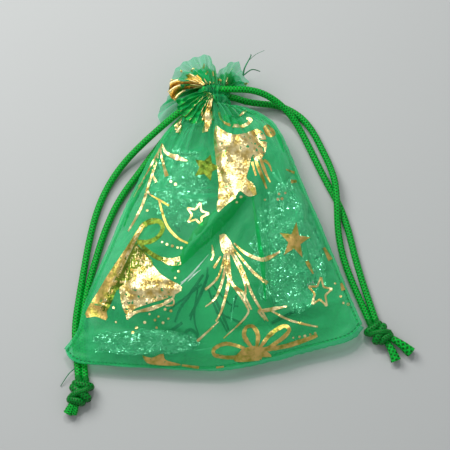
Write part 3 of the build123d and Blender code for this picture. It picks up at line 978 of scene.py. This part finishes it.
BRIGHT_STROKES = [
    # top curls
    ([(1.8, 34.0), (2.6, 31.4), (5.8, 29.2), (10.6, 29.2), (13.2, 31.4), (11.6, 32.0)],
     (0.7, 0.8, 1.3, 1.2, 0.9)),
    ([(8.8, 32.6), (11.2, 34.6), (13.4, 35.2)], (0.5, 0.8, 0.6)),
    # the upper left sprig
    ([(-18.0, 23.0), (-16.5, 19.8), (-12.0, 17.7), (-9.0, 16.8)], (0.5, 1.0, 1.9, 0.4)),
    ([(-18.0, 23.0), (-18.2, 19.0), (-16.0, 11.4)], (0.4, 0.7, 1.4)),
    ([(-18.0, 23.0), (-20.0, 16.3), (-22.6, 7.4), (-21.4, 4.8)], (0.5, 0.8, 0.9, 0.5)),
    ([(-18.6, 21.6), (-22.2, 14.5), (-24.9, 9.2), (-27.5, 4.3)], (0.4, 0.7, 0.7, 0.4)),
    ([(-22.6, 7.4), (-24.9, 0.3), (-29.3, -7.6)], (0.9, 1.0, 0.6)),
    ([(-24.0, 10.0), (-26.4, 7.4)], (0.6, 1.0)), ([(-21.4, 12.6), (-19.8, 9.4)], (0.5, 1.0)),
    # the ribbon's tail beside the small bell, and a painted highlight along the ridge of the side band
    ([(-17.4, -16.8), (-14.4, -17.8), (-11.0, -17.4)], (1.4, 2.4, 2.8)),
    ([(-24.2, -5.2), (-31.0, -19.0), (-38.4, -34.6)], (0.7, 1.3, 0.9)),
    # the middle spray
    ([(4.0, -14.7), (1.8, -22.7), (-2.7, -27.2)], (0.5, 0.7, 0.8)),
    ([(4.2, -14.7), (3.5, -22.7), (0.9, -29.8), (-2.7, -32.9)], (0.5, 0.8, 0.9, 0.4)),
    ([(4.9, -14.7), (5.3, -23.6), (3.1, -33.4), (0.9, -37.8)], (0.6, 1.1, 0.9, 0.5)),
    ([(5.3, -14.7), (6.2, -24.5), (9.8, -28.0), (12.9, -33.8)], (0.5, 0.7, 0.9, 0.6)),
    ([(5.8, -14.3), (10.6, -24.5), (10.6, -30.7)], (0.5, 0.8, 0.6)),
    ([(6.2, -13.9), (9.8, -20.0), (13.3, -28.9), (18.6, -37.8)], (0.6, 0.8, 0.9, 0.5)),
    ([(6.6, -13.0), (13.3, -21.0), (18.2, -25.0)], (0.5, 0.9, 1.1)),
    ([(7.1, -11.6), (10.6, -14.7), (16.0, -17.0), (19.5, -16.1), (22.6, -14.3)], (0.6, 0.9, 1.2, 1.5, 0.6)),
    ([(4.9, -16.0), (4.9, -22.7), (11.1, -32.1), (11.1, -36.1), (3.5, -43.6)], (0.4, 0.7, 0.8, 0.6, 0.3)),
    ([(1.8, -37.8), (-5.4, -44.5)], (0.4, 0.9)),
    ([(-0.5, -12.1), (0.0, -15.6), (-0.7, -17.4)], (0.3, 0.8, 0.5)),
    ([(2.6, -16.0), (0.2, -20.0)], (0.5, 0.9)),
    ([(15.1, -34.3), (19.5, -33.8), (24.9, -32.9)], (1.0, 1.3, 0.5)),
    ([(15.1, -34.3), (17.7, -37.4)], (0.6, 0.9)),
    ([(19.5, -34.3), (26.6, -37.8), (35.5, -40.0)], (0.6, 0.8, 0.5)),
    # the lower left trim
    ([(-29.2, -36.6), (-26.0, -34.8), (-20.4, -33.4), (-14.6, -31.0), (-13.0, -28.8)],
     (1.6, 0.9, 1.5, 0.9, 0.7)),
    ([(-16.4, -31.2), (-13.6, -30.2), (-13.4, -32.2), (-16.0, -32.6)], (0.5, 0.6, 0.5)),
]
# In the dark olive foil: painted shade
OLIVE_STROKES = [
    # the ribbon's loop above the small bell, and the start of its tail
    ([(-24.9, -6.3), (-22.2, -4.5), (-18.7, -4.1), (-17.1, -6.3), (-18.7, -9.4), (-22.2, -11.2), (-26.2, -11.2)],
     (1.6, 2.0, 1.5, 1.3, 1.6, 1.8)),
    ([(-25.2, -11.4), (-22.6, -14.0), (-18.8, -16.4), (-15.4, -17.4)], (1.0, 1.6, 1.6, 1.2)),
]
# Print drawn in the dimmer copy of the gold foil, as painted shade
DIM_SHADE_STROKES = [
    ([(-18.7, 3.5), (-16.0, -5.0), (-12.4, -9.4), (-8.5, -11.6)], (0.6, 0.8, 0.9, 0.6)),
    ([(-21.3, 4.8), (-15.1, 1.2)], (0.5, 0.8)),
    # brush streaks beside the large bell
    ([(14.6, 16.8), (16.0, 12.8), (18.2, 7.0)], (0.9, 1.3, 0.5)),
    ([(16.0, 18.0), (17.7, 12.8), (19.5, 9.2)], (1.1, 1.2, 0.4)),
    ([(13.3, 16.3), (14.6, 11.4)], (0.9, 0.6)), ([(17.3, 17.0), (19.0, 15.6), (20.0, 13.0)], (1.2, 0.8, 0.4)),
    ([(11.0, 9.2), (13.3, 7.0), (14.2, 4.8)], (1.8, 2.0, 1.4)),
    # the bow at the bottom
    ([(13.7, -47.6), (10.6, -43.1), (11.1, -40.0), (13.3, -39.6), (15.1, -42.7), (14.6, -47.1)],
     (1.0, 1.5, 1.2, 1.5, 1.0)),
    ([(15.1, -47.6), (19.5, -42.3), (23.9, -39.6), (25.7, -40.9), (23.0, -44.0), (16.8, -48.0)],
     (1.0, 1.4, 1.2, 1.4, 1.0)),
    ([(12.4, -48.9), (7.1, -50.2), (0.9, -49.4), (0.4, -47.1), (4.4, -45.4), (10.6, -47.1)],
     (1.0, 1.5, 1.2, 1.4, 1.0)),
    ([(16.0, -47.6), (24.8, -46.4), (31.7, -44.2), (35.4, -42.9)], (1.6, 1.7, 1.7, 1.2)),
    ([(-10.6, -52.9), (-2.6, -53.9), (3.6, -53.4)], (0.7, 1.1, 0.5)),
    ([(31.8, -17.6), (34.0, -22.0)], (1.4, 0.6)), ([(25.0, 13.8), (28.2, 12.8)], (0.4, 1.0)),
    ([(26.6, 9.6), (28.8, 9.8)], (1.4, 0.8)), ([(38.0, -13.2), (40.2, -17.4)], (0.9, 1.7)),
    ([(43.8, -25.4), (45.2, -29.6)], (0.9, 1.8)),
]
DOTS = [
    (-17.3, -11.2), (-15.6, -11.9), (-13.8, -12.5), (-12.0, -13.0), (-10.7, -13.1), (27.1, -43.6),
    (29.3, -43.3), (31.1, -43.0), (32.9, -42.5), (34.6, -42.1), (-32.9, -38.3), (-28.9, -36.9),
    (-23.1, -38.3), (-19.6, -37.4), (-16.9, -38.3), (-15.1, -36.9), (-19.1, -40.0), (-25.8, -40.0),
    (-33.8, -33.4), (-14.2, -34.3), (-18.4, -36.2), (-27.0, -41.6), (7.1, 3.9), (8.0, 2.4), (9.4, 4.2),
    (17.5, 3.2), (22.4, 5.2), (23.4, 3.6), (24.6, 5.6), (22.0, 3.4), (41.7, -25.4), (43.5, -29.8),
    (46.1, -32.5), (44.4, -32.0), (-11.6, -21.0), (-12.8, -23.2), (-14.6, 9.6), (-13.0, 8.6), (-22.6, -0.4),
    (-16.2, -33.8), (-21.4, -35.4),
]
# Where the front is folded over on itself; white strokes on its fold ridges as painted highlights; and strips of
# a glossier copy of the film under it, painted highlights where the film's creases press up against it
DOUBLED_STROKES = [
    ([(11.0, 4.0), (3.5, -1.8), (-3.6, -8.5), (-10.7, -17.4), (-14.0, -21.0)], (1.0, 5.5, 6.5, 4.0, 0.8)),
    ([(13.4, 4.4), (14.4, -3.0), (16.6, -18.0), (17.6, -31.0)], (0.5, 1.1, 1.5, 0.4)),
    ([(12.4, 36.2), (17.0, 33.6), (21.6, 28.0), (24.4, 20.0)], (0.4, 1.6, 1.6, 0.4)),
    ([(4.0, 33.0), (6.5, 30.5), (10.0, 30.0)], (1.5, 4.5, 1.0)),
    ([(-31.0, -6.0), (-27.0, 4.0), (-21.5, 14.0), (-17.5, 22.0)], (0.5, 1.2, 1.4, 0.6)),
]
# White strokes on the front's fold ridges: painted highlights
FOLD_GLINTS = [
    ([(-10.9, -24.8), (-8.2, -22.9), (-4.4, -18.6), (-1.6, -15.4)], (0.2, 0.7, 0.35, 0.2)),
    ([(-8.6, -24.4), (-6.2, -22.0), (-4.2, -20.6)], (0.15, 0.5, 0.15)),
    ([(-12.4, -27.0), (-9.8, -24.4), (-7.2, -21.6)], (0.15, 0.5, 0.2)),
]
PAINTED_CREASE_HIGHLIGHTS = [
    ([(-9.8, 8.0), (-8.4, 2.0)], (0.3, 0.7)), ([(-13.0, 19.0), (-8.8, 18.0)], (0.3, 0.6)),
    ([(-12.6, 12.6), (-9.4, 14.0)], (0.8, 0.4)),
    ([(19.5, 15.0), (21.5, 11.0), (24.0, 9.0)], (0.4, 1.0, 0.4)), ([(22.0, 14.0), (24.5, 7.0)], (0.3, 0.8)),
    ([(30.0, 2.0), (27.0, -4.0)], (0.3, 0.8)),
    ([(20.0, -12.0), (26.0, -20.0), (24.0, -26.0)], (0.3, 0.9, 0.4)),
    ([(-40.0, -48.4), (-32.0, -48.0), (-22.0, -48.6)], (0.3, 0.8, 0.3)),
    ([(-6.0, -47.6), (2.0, -46.4)], (0.3, 0.6)),
    ([(31.0, -22.0), (34.0, -32.0)], (0.3, 0.8)), ([(7.0, -30.0), (6.0, -38.0)], (0.3, 0.6)),
]
BACK_STROKES = [
    ([(-2.0, -20.2), (-3.2, -27.0), (-8.3, -37.5)], (0.6, 0.8, 0.5)),
    ([(-5.3, -26.1), (-6.6, -37.5), (-4.9, -44.2)], (0.5, 0.8, 0.4)),
    ([(-0.3, -26.1), (5.2, -32.9), (8.6, -34.1)], (0.5, 0.8, 0.6)),
    ([(-2.0, -26.9), (1.0, -35.4), (4.8, -43.0)], (0.5, 0.8, 0.5)),
    ([(-7.4, -27.8), (-11.7, -35.4)], (0.7, 0.8)),
    ([(-30.0, -4.0), (-24.0, 8.0), (-20.0, 16.0)], (0.4, 0.7, 0.4)),
    ([(-3.6, -22.7), (-10.7, -33.4), (-13.3, -39.6)], (0.9, 1.1, 0.7)),
    ([(-1.8, -22.7), (-5.4, -31.6), (-8.0, -38.7)], (0.8, 1.0, 0.6)),
    ([(0.0, -29.8), (3.5, -37.8), (5.3, -42.3)], (0.8, 1.1, 0.6)),
    ([(-10.7, -39.6), (-15.1, -43.1)], (1.0, 1.4)),
    ([(-7.1, -45.8), (-9.8, -44.0), (-8.0, -42.0), (-5.6, -44.0), (-7.0, -48.0)], (1.2, 1.2, 1.0, 1.2)),
    ([(8.0, -30.0), (6.2, -36.0)], (0.8, 1.0)), ([(-18.0, 6.6), (-12.0, 8.6), (-9.0, 4.6)], (1.6, 2.0, 1.2)),
    ([(-4.0, -26.0), (-9.0, -30.0), (-16.0, -36.0)], (0.7, 0.9, 0.6)),
    ([(26.0, 2.0), (31.0, -8.0)], (1.2, 1.6)),
    ([(-16.0, 0.0), (-12.0, -8.0)], (0.9, 1.2)), ([(20.0, -40.0), (28.0, -36.0)], (1.2, 1.0)),
    ([(-34.0, -20.0), (-30.0, -26.0)], (1.0, 1.2)), ([(1.0, -36.0), (10.0, -40.0)], (0.6, 0.9)),
]


def strokes_on(strokes, place):
    return [stroke(points, widths, place) for points, widths in strokes]


def print_piece(name, parts, material):
    obj = join_parts(name, parts, [material])
    belongs(obj, SACK)
    return obj


bright = [filled(rounded(BELL_LARGE, 90), on_front, 0.6, lambda x, v: 0.62 - 0.035 * max(x - 8, 0)),
          filled(rounded(BELL_SMALL, 60), on_front, 0.5, lambda x, v: 0.75 + 0.035 * (v + 20)),
          filled(rounded(SPRAY_HEART, 30), on_front)]
bright += strokes_on(BRIGHT_STROKES, on_front)
bright += [dot(x, v, 0.38 + 0.14 * (k * 7 % 5) / 4, on_front) for k, (x, v) in enumerate(DOTS)]
for x, v, radius, turn, stretch in ((-5.4, -1.8, 4.0, 0.25, 1.0), (36.4, -28.4, 4.3, 0.1, 1.2)):
    corners = star_outline(x, v, radius, turn, 0.45, stretch)
    for a, b in zip(corners, corners[1:] + corners[:1]):
        middle = ((a[0] + b[0]) / 2, (a[1] + b[1]) / 2)
        bright.append(stroke([a, middle, b], (0.75, 0.6, 0.75), on_front))
print_piece("front_foil_bright", bright, FOIL)

olive = [filled(rounded(OLIVE_BELL, 50), on_front), filled(rounded(OLIVE_STRIP, 40), on_front),
         filled(star_outline(-2.4, 14.4, 4.8, 0.3, 0.5), on_front)]
print_piece("front_foil_dark_painted_shade", olive + strokes_on(OLIVE_STROKES, on_front), FOIL_DARK_SHADE)

dim_shade_parts = [filled(outline, on_front) for outline in
        (rounded(SIDE_BAND, 60), star_outline(27.6, -10.8, 5.6, 0.12, 0.4, 1.15), rounded(BOW_HEART, 40),
         rounded(EDGE_STAR, 40), rounded(TOP_KNOB, 24))]
print_piece("front_foil_dim_painted_shade", dim_shade_parts + strokes_on(DIM_SHADE_STROKES, on_front), FOIL_DIM_SHADE)

doubled = print_piece("doubled_folds", strokes_on(DOUBLED_STROKES, on_front), SEAM_CLOTH)
add_uv(doubled, [(v.co.x * 10, v.co.y * 10) for v in doubled.data.vertices])
print_piece("front_fold_glints", strokes_on(FOLD_GLINTS, on_front), FOLD_HIGHLIGHT_PAINT)
print_piece("film_crease_painted_highlights", strokes_on(PAINTED_CREASE_HIGHLIGHTS, under_front), GLINT)
print_piece("back_foil", strokes_on(BACK_STROKES, on_back), FOIL_BACK_DARK_SHADE)

# ---------------------------------------------------------------- the loose clear film inside

WADS = {
    "film_left": ("film_filler_left", (-12.0, 8.0, 9.4), (11.5, 15.0, 6.6), 11),
    "film_right": ("film_filler_right", (26.0, -13.0, 9.2), (14.0, 25.0, 6.8), 23),
    "film_bottom": ("film_filler_bottom", (-24.0, -46.5, 6.2), (22.0, 4.6, 2.6), 37),
}


def make_wad(name, cad_node, centre, radii, seed):
    """Crumpled film: a closed shell pushed into flat facets and sharp creases, kept inside the cloth."""
    sphere = bmesh.new()
    bmesh.ops.create_icosphere(sphere, subdivisions=5, radius=1.0)
    offset = Vector((seed * 1.7, seed * 0.9, seed * 2.3))
    points = []
    for vert in sphere.verts:
        way = vert.co.normalized()
        distances, _ = noise.voronoi(way * 3.4 + offset)
        fine, _ = noise.voronoi(way * 8.5 + offset)
        reach = 0.78 + 0.34 * (distances[1] - distances[0]) + 0.1 * (fine[1] - fine[0])
        reach += 0.1 * noise.noise(way * 2.2 + offset)
        p = Vector(centre) + Vector((way.x * radii[0], way.y * radii[1], way.z * radii[2])) * min(reach, 1.12)
        for _ in range(12):
            up = front_surface.ray_cast(Vector((p.x, p.y, 40.0)) * MM, Vector((0, 0, -1)))[0]
            down = back_surface.ray_cast(Vector((p.x, p.y, -5.0)) * MM, Vector((0, 0, 1)))[0]
            if up is not None and down is not None and up.z - down.z > 2.2 * MM:
                break
            p = p.lerp(Vector(centre), 0.08)
        if up is not None and down is not None:
            p.z = min(max(p.z, down.z / MM + 0.35), up.z / MM - 0.4)
        points.append(p)
    faces = [tuple(v.index for v in face.verts) for face in sphere.faces]
    sphere.free()
    belongs(make_object(name, points, faces, [FILM], smooth=False), SACK, cad_node)


for wad_name, (cad_node, centre, radii, seed) in WADS.items():
    make_wad(wad_name, cad_node, centre, radii, seed)

# ---------------------------------------------------------------- the drawstrings

CORD_RADIUS = 1.15
CORD_STEP = 0.2
CORD_SIDES = 32
LEFT_FRONT_ROUTE = [
    (-0.3, 39.3, 12.15), (-5.8, 39.2, 12.1), (-11.4, 35.2, 10.9), (-17.8, 30.6, 8.4), (-25.6, 24.4, 5.0),
    (-32.0, 18.3, 2.4), (-37.2, 10.7, 1.2), (-40.9, 1.8, 1.15), (-43.3, -8.4, 1.15), (-45.2, -20.8, 1.15),
    (-46.7, -31.3, 1.15), (-47.7, -39.6, 1.15), (-47.3, -46.8, 1.15), (-46.6, -52.9, 1.15),
    (-46.0, -58.4, 1.6),
]
LEFT_BACK_ROUTE = [
    (-0.3, 39.3, 4.85), (-5.6, 39.1, 4.7), (-10.8, 35.2, 3.4), (-16.0, 29.5, 2.0), (-21.2, 22.9, 1.2),
    (-26.2, 15.5, 1.15), (-31.6, 8.1, 1.15), (-35.6, 0.5, 1.15), (-38.9, -8.5, 1.15), (-41.4, -17.8, 1.15),
    (-43.6, -26.1, 1.15), (-44.7, -33.1, 1.15), (-45.3, -40.1, 1.15), (-44.9, -46.9, 1.15),
    (-44.3, -53.1, 1.15), (-43.7, -58.7, 1.6),
]
RIGHT_FRONT_ROUTE = [
    (0.5, 42.7, 12.15), (6.4, 42.7, 12.1), (12.0, 43.1, 10.8), (17.4, 42.5, 8.7), (22.6, 40.1, 6.3),
    (27.4, 36.1, 3.6), (30.9, 30.9, 1.6), (33.9, 24.7, 1.15), (37.4, 16.9, 1.15), (41.0, 9.5, 1.15),
    (44.6, 2.7, 1.15), (47.2, -5.5, 1.15), (48.9, -13.5, 1.15), (51.0, -21.9, 1.15), (53.6, -30.5, 1.15),
    (56.2, -38.8, 1.6),
]
RIGHT_BACK_ROUTE = [
    (0.5, 42.7, 4.85), (6.2, 42.6, 4.7), (11.4, 40.9, 4.0), (16.2, 40.4, 3.2), (21.0, 40.5, 2.0),
    (26.2, 39.3, 1.2), (31.6, 35.7, 1.15), (35.4, 30.5, 1.15), (38.2, 24.5, 1.15), (41.0, 18.1, 1.5),
    (42.9, 11.1, 3.4), (43.3, 3.1, 3.4), (43.4, -4.9, 1.7), (44.6, -13.5, 1.15), (47.2, -22.1, 1.15),
    (50.6, -30.5, 1.15), (54.0, -38.9, 1.6),
]


def route_line(points):
    """The smooth line of a route, read from a NURBS spline with the route's points."""
    curve = bpy.data.curves.new("route", "CURVE")
    curve.dimensions = "3D"
    spline = curve.splines.new("NURBS")
    spline.points.add(len(points) - 1)
    for control, p in zip(spline.points, points):
        control.co = (p[0] * MM, p[1] * MM, max(p[2], CORD_RADIUS + 0.03) * MM, 1.0)
    spline.order_u = 3
    spline.use_endpoint_u = True
    spline.resolution_u = 12
    holder = bpy.data.objects.new("route", curve)
    mesh = bpy.data.meshes.new_from_object(holder)
    line = [v.co / MM for v in mesh.vertices]
    bpy.data.objects.remove(holder)
    bpy.data.curves.remove(curve)
    bpy.data.meshes.remove(mesh)
    return line


def braid(radius):
    """A braided surface: two crossing families of raised yarns."""
    def height(share, run, angle):
        turn = BRAID_YARNS * angle / (2 * math.pi)
        one = abs(math.sin(math.pi * (run / BRAID_PITCH + turn)))
        two = abs(math.sin(math.pi * (run / BRAID_PITCH - turn)))
        return radius * (0.92 + 0.12 * max(one, two))
    return height


def make_strand(name, cad_node, body, route):
    line = route_line(route)
    length = length_of(line)
    even = resample(line, int(length / CORD_STEP))
    points, faces = tube_mesh(even, braid(CORD_RADIUS), CORD_SIDES)
    obj = make_object(name, points, faces, [CORD])
    add_tube_uv(obj, CORD_SIDES, length / (len(even) - 1))
    belongs(obj, body, cad_node)


KNOT_RINGS = 90


def make_knot(name, cad_node, body, turns):
    """A knot tied in the doubled cord: loops of cord wound over each other and pulled down tight."""
    parts = []
    for loop, radius in turns:
        def ribbed(share, run, angle, r=radius):
            return r * (0.95 + 0.05 * abs(math.sin(4 * angle + run)))

        parts.append(tube_mesh(curve_through(loop, KNOT_RINGS), ribbed, CORD_SIDES, closed_ends=False))
    obj = join_parts(name, parts, [KNOT_CORD_PAINTED_SHADE])
    add_tube_uv(obj, CORD_SIDES, 0.2)
    belongs(obj, body, cad_node)
    return obj


def make_tail(start, end, start_radius, end_radius):
    """A cut cord end whose yarns spread: ribs that deepen towards the end, and a hollow, ragged tip."""
    a, b = Vector(start), Vector(end)
    bend = (a + b) / 2 + Vector((0.2, 0.2, 0.3))
    line = curve_through([a, bend, b], 40)

    def flare(share, run, angle):
        r = start_radius + (end_radius - start_radius) * share ** 1.4
        ribs = 0.1 + 0.16 * share
        twist = angle * 8 + run * 0.9
        ragged = 0.12 * noise.noise(Vector((math.cos(angle) * 3, math.sin(angle) * 3, run))) * share
        return r * (1 - ribs * 0.5 + ribs * abs(math.sin(twist / 2)) + ragged)

    points, faces = tube_mesh(line, flare, CORD_SIDES, closed_ends=False)
    sides = CORD_SIDES
    last = len(points) - sides
    base = len(points)
    inward = (a - b).normalized()
    for m in range(sides):
        points.append(b + (points[last + m] - b) * 0.6 + inward * (0.7 + 0.3 * math.sin(m * 2.1)))
    for m in range(sides):
        k = (m + 1) % sides
        faces.append((last + m, last + k, base + k, base + m))
    points.append(b + inward * 0.6)
    faces.extend((base + m, base + (m + 1) % sides, base + sides) for m in range(sides))
    return points, faces


# Wraps of a knot, along its length: centre, half width across, half height, cord radius, slant
LEFT_WRAPS = [((-44.3, -60.7, 2.95), 2.55, 1.45, 1.42, -0.7), ((-45.1, -63.3, 3.05), 2.95, 1.5, 1.5, 0.8),
              ((-46.5, -66.0, 2.8), 2.0, 1.3, 1.4, -0.5)]
RIGHT_WRAPS = [((54.9, -41.0, 2.95), 2.35, 1.45, 1.42, 0.7), ((57.0, -42.9, 3.1), 2.65, 1.55, 1.5, -0.8),
               ((59.0, -44.4, 2.85), 1.8, 1.35, 1.38, 0.6)]
# The two strands as they go in, and the turn that crosses over the top
LEFT_ENTRIES = [[(-46.1, -57.2, 1.5), (-45.6, -58.8, 2.3), (-44.6, -61.0, 3.0)],
                [(-43.8, -57.5, 1.5), (-43.4, -59.0, 2.3), (-44.0, -61.4, 2.9)],
                [(-41.7, -61.0, 3.6), (-43.4, -62.6, 5.0), (-46.6, -63.8, 5.0), (-48.6, -65.2, 3.2)]]
RIGHT_ENTRIES = [[(53.6, -37.8, 1.5), (53.9, -39.2, 2.3), (55.2, -41.6, 3.0)],
                 [(55.9, -37.7, 1.5), (56.2, -39.2, 2.3), (56.2, -41.6, 2.9)],
                 [(53.4, -43.0, 3.4), (55.6, -42.9, 5.0), (58.2, -42.6, 5.1), (60.4, -42.6, 3.4)]]
LEFT_AXIS = Vector((-0.41, -0.91, 0.0))
RIGHT_AXIS = Vector((0.76, -0.65, 0.0))


def knot_turns(wraps, entries, axis):
    """The knot's cord runs: each wrap is a ring round the knot's axis, slanting as it goes over the top."""
    across = Vector((-axis.y, axis.x, 0.0))
    turns = []
    for centre, half_width, half_height, radius, slant in wraps:
        ring = []
        for k in range(13):
            angle = 2 * math.pi * k / 12
            out = across * half_width + axis * (slant * 0.8)
            ring.append(Vector(centre) + out * math.cos(angle) + Vector((0, 0, half_height * math.sin(angle))))
        turns.append((ring, radius))
    return turns + [(entry, CORD_RADIUS) for entry in entries]


left_knot = make_knot("left_knot_cord", "left_knot", LEFT, knot_turns(LEFT_WRAPS, LEFT_ENTRIES, LEFT_AXIS))
right_knot = make_knot("right_knot_cord", "right_knot", RIGHT,
                       knot_turns(RIGHT_WRAPS, RIGHT_ENTRIES, RIGHT_AXIS))


def tail_piece(name, cad_node, body, ends):
    obj = join_parts(name, [make_tail(*values) for values in ends], [CORD])
    add_tube_uv(obj, CORD_SIDES, 0.15)
    belongs(obj, body, cad_node)
    return obj


# Tails: start, end, start radius, end radius
LEFT_TAILS = [((-47.6, -66.6, 2.6), (-49.3, -70.2, 2.0), 1.2, 1.5),
              ((-46.6, -66.8, 2.2), (-47.6, -70.4, 1.7), 1.1, 1.2)]
RIGHT_TAIL_INNER = ((59.2, -45.1, 2.2), (62.6, -52.1, 1.8), 1.05, 1.6)
RIGHT_TAIL_OUTER = ((60.2, -43.9, 3.0), (67.8, -49.2, 1.9), 1.05, 1.7)
left_tails = tail_piece("left_tail_cords", "left_tail_ends", LEFT, LEFT_TAILS)
right_inner = tail_piece("right_tail_inner_cord", "right_tail_inner", RIGHT, [RIGHT_TAIL_INNER])
right_outer = tail_piece("right_tail_outer_cord", "right_tail_outer", RIGHT, [RIGHT_TAIL_OUTER])

make_strand("left_front_cord", "left_front_strand", LEFT, LEFT_FRONT_ROUTE)
make_strand("left_back_cord", "left_back_strand", LEFT, LEFT_BACK_ROUTE)
make_strand("right_front_cord", "right_front_strand", RIGHT, RIGHT_FRONT_ROUTE)
make_strand("right_back_cord", "right_back_strand", RIGHT, RIGHT_BACK_ROUTE)

for name in ("left_channel_run", "right_channel_run"):
    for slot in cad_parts[name].material_slots:
        slot.material = CORD

# ---------------------------------------------------------------- frayed yarns

FRILL_YARNS = [
    ([(10.4, 48.6, 10.5), (11.0, 51.0, 11.6), (13.0, 55.2, 11.0), (13.2, 56.4, 10.4)], 0.3),
    ([(10.4, 48.4, 10.4), (13.4, 50.2, 11.6), (16.4, 50.0, 10.4)], 0.26),
    ([(12.6, 54.0, 11.2), (15.0, 56.2, 11.0), (18.0, 58.0, 10.2)], 0.1),
]
CORD_YARNS = [([(-47.2, -54.6, 1.9), (-49.4, -56.6, 1.7), (-52.2, -60.6, 0.4)], 0.2)]


def make_yarns(name, body, yarns):
    parts = [tube_mesh(curve_through(points, 30), lambda share, run, angle, r=thick: r * (1 - 0.4 * share),
                       THREAD_SIDES) for points, thick in yarns]
    belongs(join_parts(name, parts, [THREAD]), body)


make_yarns("frill_frayed_yarns", SACK, FRILL_YARNS)
make_yarns("cord_frayed_yarn", LEFT, CORD_YARNS)
